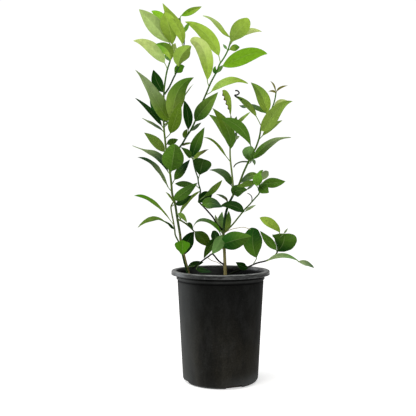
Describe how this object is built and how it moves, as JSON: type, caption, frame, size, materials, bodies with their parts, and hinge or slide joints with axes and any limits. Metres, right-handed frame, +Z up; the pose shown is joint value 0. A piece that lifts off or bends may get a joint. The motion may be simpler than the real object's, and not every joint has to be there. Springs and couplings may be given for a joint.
{
  "type": "potted lemon tree",
  "caption": "Young lemon tree with upright leafy shoots on woody stems, rooted in soil in a tapered round nursery pot with a rolled rim.",
  "frame": {"origin": "middle of the pot's underside", "axes": "+Z up; -Y towards the viewer of the picture; +X to the viewer's right"},
  "size_m": [0.3951, 0.217, 0.8304],
  "materials": {
    "pot_plastic": "black moulded nursery-pot plastic with a soft sheen",
    "potting_soil": "dark damp potting mix",
    "bark": "green to tan young bark",
    "young_leaf": "lime and mid green satin leaves on green shoots",
    "mature_leaf": "dark green glossy leaves with paler undersides"
  },
  "bodies": {
    "root": {"pot": "pot_plastic", "soil": "potting_soil", "trunk_left": "bark", "trunk_right": "bark", "shoot_left_top": "young_leaf", "shoot_inner_top": "young_leaf", "shoot_left_low": "mature_leaf", "shoot_left_side": "mature_leaf", "shoot_middle": "mature_leaf", "shoot_centre": "mature_leaf", "shoot_right_top": "mature_leaf", "shoot_right_middle": "mature_leaf", "shoot_right_low": "mature_leaf", "twig_low": "mature_leaf"}
  },
  "joints": []
}
